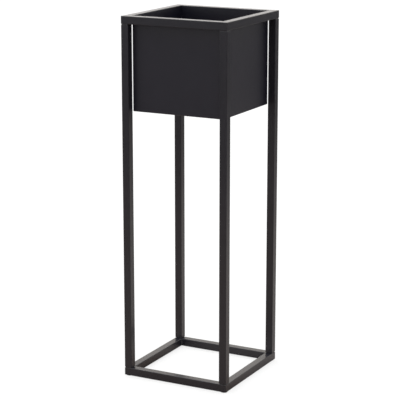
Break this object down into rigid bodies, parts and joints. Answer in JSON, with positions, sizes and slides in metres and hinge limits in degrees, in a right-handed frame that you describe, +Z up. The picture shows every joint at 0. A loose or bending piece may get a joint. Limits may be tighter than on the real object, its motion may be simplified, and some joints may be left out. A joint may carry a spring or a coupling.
{
  "type": "raised planter on legs",
  "caption": "Slim raised planter: a square sheet-steel box hung in the rim of a tall black square-tube frame with a matching base ring.",
  "frame": {"origin": "on the floor, under the middle of the planter", "axes": "+Z up, along the legs; -Y is the front; the planter is square in plan with its sides along X and Y"},
  "size_m": [0.22, 0.22, 0.7],
  "materials": {
    "frame_coat": "fine-textured matt black powder coat on steel tube",
    "box_coat": "fine-textured matt black powder coat on steel sheet",
    "zinc_steel": "bright zinc-plated steel",
    "glide_plastic": "matt black polyethylene"
  },
  "bodies": {
    "root": {"base_rail_back": "frame_coat", "base_rail_front": "frame_coat", "base_rail_left": "frame_coat", "base_rail_right": "frame_coat", "base_screws": "zinc_steel", "box_cradle": "box_coat", "box_side_left": "box_coat", "box_side_right": "box_coat", "glide_back_left": "glide_plastic", "glide_back_right": "glide_plastic", "glide_front_left": "glide_plastic", "glide_front_right": "glide_plastic", "leg_back_left": "frame_coat", "leg_back_right": "frame_coat", "leg_base_plug_back_left": "frame_coat", "leg_base_plug_back_right": "frame_coat", "leg_base_plug_front_left": "frame_coat", "leg_base_plug_front_right": "frame_coat", "leg_front_left": "frame_coat", "leg_front_right": "frame_coat", "leg_studs": "zinc_steel", "leg_top_plug_back_left": "frame_coat", "leg_top_plug_back_right": "frame_coat", "leg_top_plug_front_left": "frame_coat", "leg_top_plug_front_right": "frame_coat", "rim_bushes": "zinc_steel", "rim_rail_back": "frame_coat", "rim_rail_front": "frame_coat", "rim_rail_left": "frame_coat", "rim_rail_right": "frame_coat", "spring_washers": "zinc_steel"}
  },
  "joints": []
}
